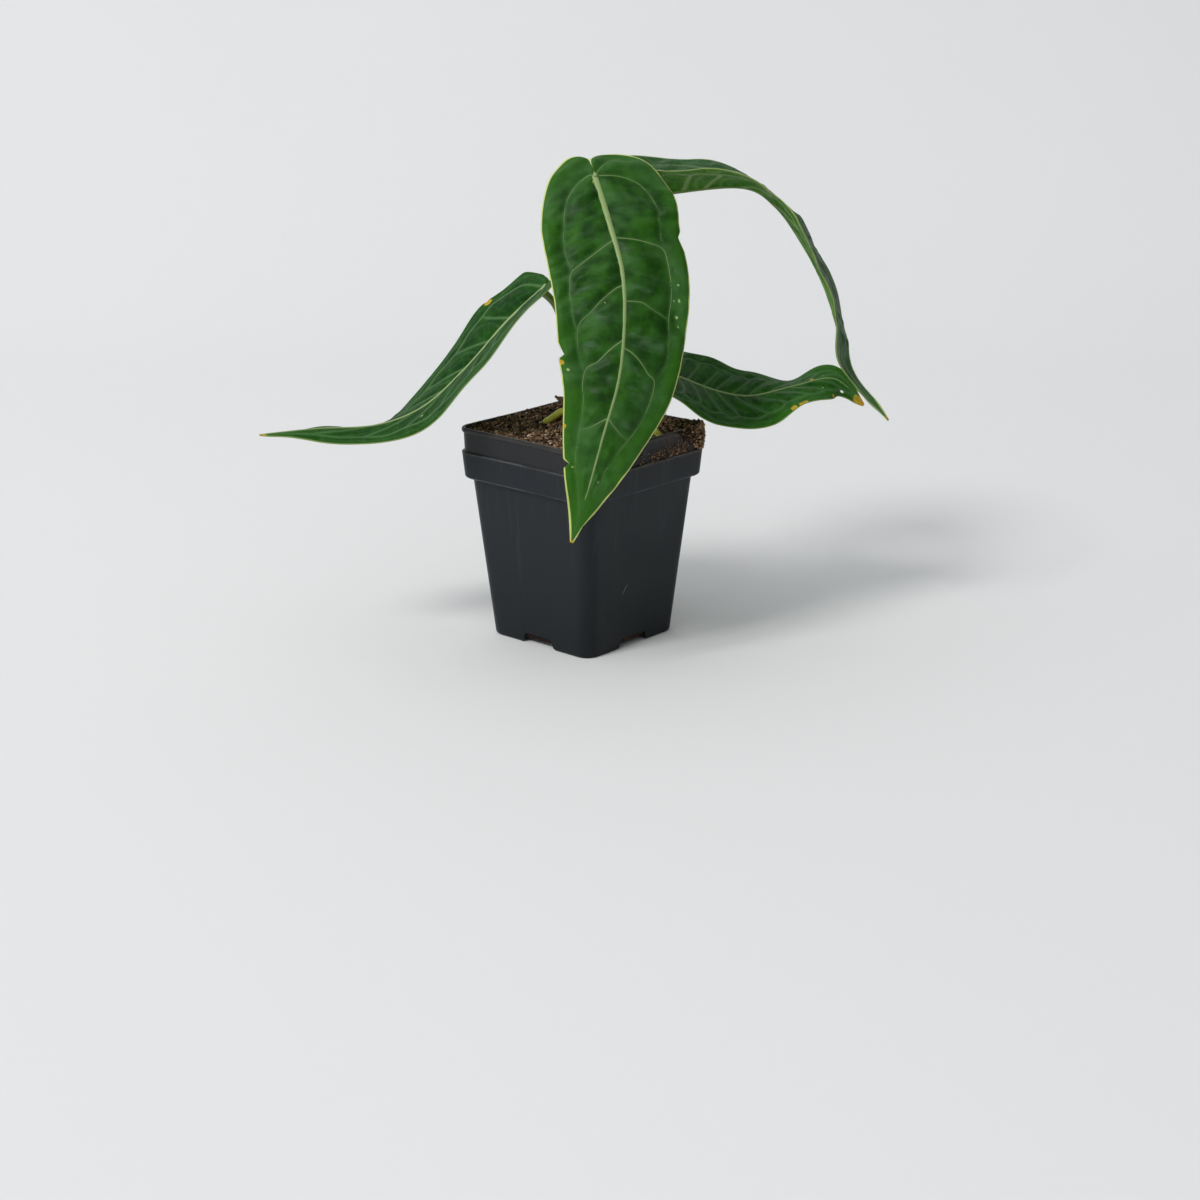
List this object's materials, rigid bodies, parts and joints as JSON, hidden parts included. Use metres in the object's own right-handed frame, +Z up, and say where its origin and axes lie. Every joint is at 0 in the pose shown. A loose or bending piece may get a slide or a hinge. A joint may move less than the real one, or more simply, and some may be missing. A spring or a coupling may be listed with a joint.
{
  "type": "potted queen anthurium",
  "caption": "Queen anthurium with four long, drooping, pale-veined leaves in a square tapered nursery pot.",
  "frame": {"origin": "middle of the pot's underside, on the surface it stands on", "axes": "+Z up; -Y towards the viewer who sees the front leaf full face; the pot is turned 48 degrees about Z, with a corner near -Y; the widest spread of the leaves lies along X"},
  "size_m": [0.3449, 0.1664, 0.2713],
  "materials": {
    "pot_plastic": "charcoal injection-moulded plastic, satin, with faint scuffs",
    "potting_mix": "damp peat and bark with white mineral grains",
    "leaf_blade": "velvety deep green upper face with pale veins and margin, lighter green underside",
    "leaf_stalk": "smooth yellow-green stalk",
    "root_skin": "pale yellow-green root skin",
    "dry_sheath": "dry, brown, papery"
  },
  "bodies": {
    "root": {"pot": "pot_plastic", "potting_mix": "potting_mix", "stem": "leaf_stalk", "root_left": "root_skin", "root_right": "root_skin", "root_front": "root_skin", "root_back": "root_skin", "leaf_front": "leaf_blade", "leaf_left": "leaf_blade", "leaf_right": "leaf_blade", "leaf_back": "leaf_blade", "petiole_front": "leaf_stalk", "petiole_left": "leaf_stalk", "petiole_right": "leaf_stalk", "petiole_back": "leaf_stalk", "dry_sheath": "dry_sheath", "dry_sheath_back": "dry_sheath"}
  },
  "joints": []
}
